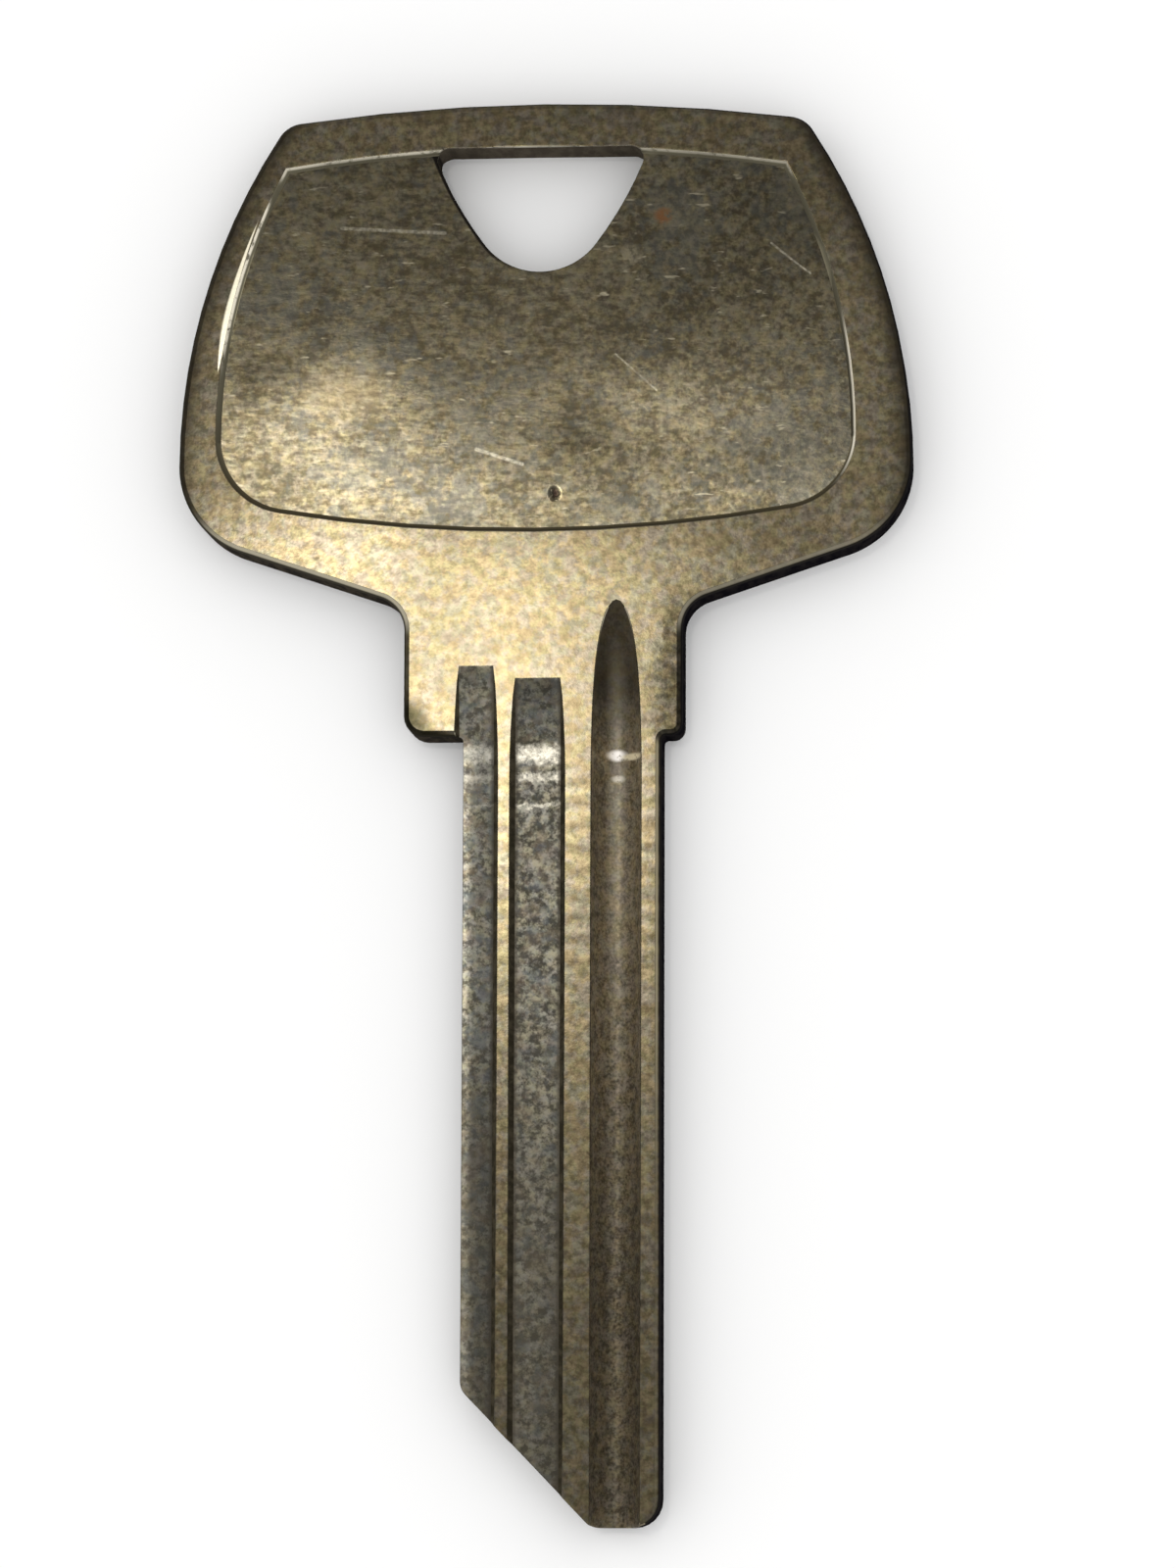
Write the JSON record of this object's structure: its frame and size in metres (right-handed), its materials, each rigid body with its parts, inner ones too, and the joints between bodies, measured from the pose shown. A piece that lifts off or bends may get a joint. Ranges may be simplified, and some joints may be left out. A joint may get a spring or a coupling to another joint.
{
  "type": "key blank",
  "caption": "Uncut flat key blank: rimmed bow with a sunk panel and key-ring hole, a stop shoulder, and a straight grooved blade with a bevelled tip.",
  "frame": {"origin": "on the back face, on the blade's middle line, level with the shoulder that stops the key in the lock", "axes": "+Y along the blade from tip to bow, +Z out of the pictured face, +X to the right of it when the bow is up"},
  "size_m": [0.0315, 0.061, 0.0023],
  "materials": {
    "nickel_silver": "aged nickel silver: olive-brown tarnish, paler on the lands and rim, darker in the grooves and the panel"
  },
  "bodies": {
    "root": {"key_blank": "nickel_silver"}
  },
  "joints": []
}
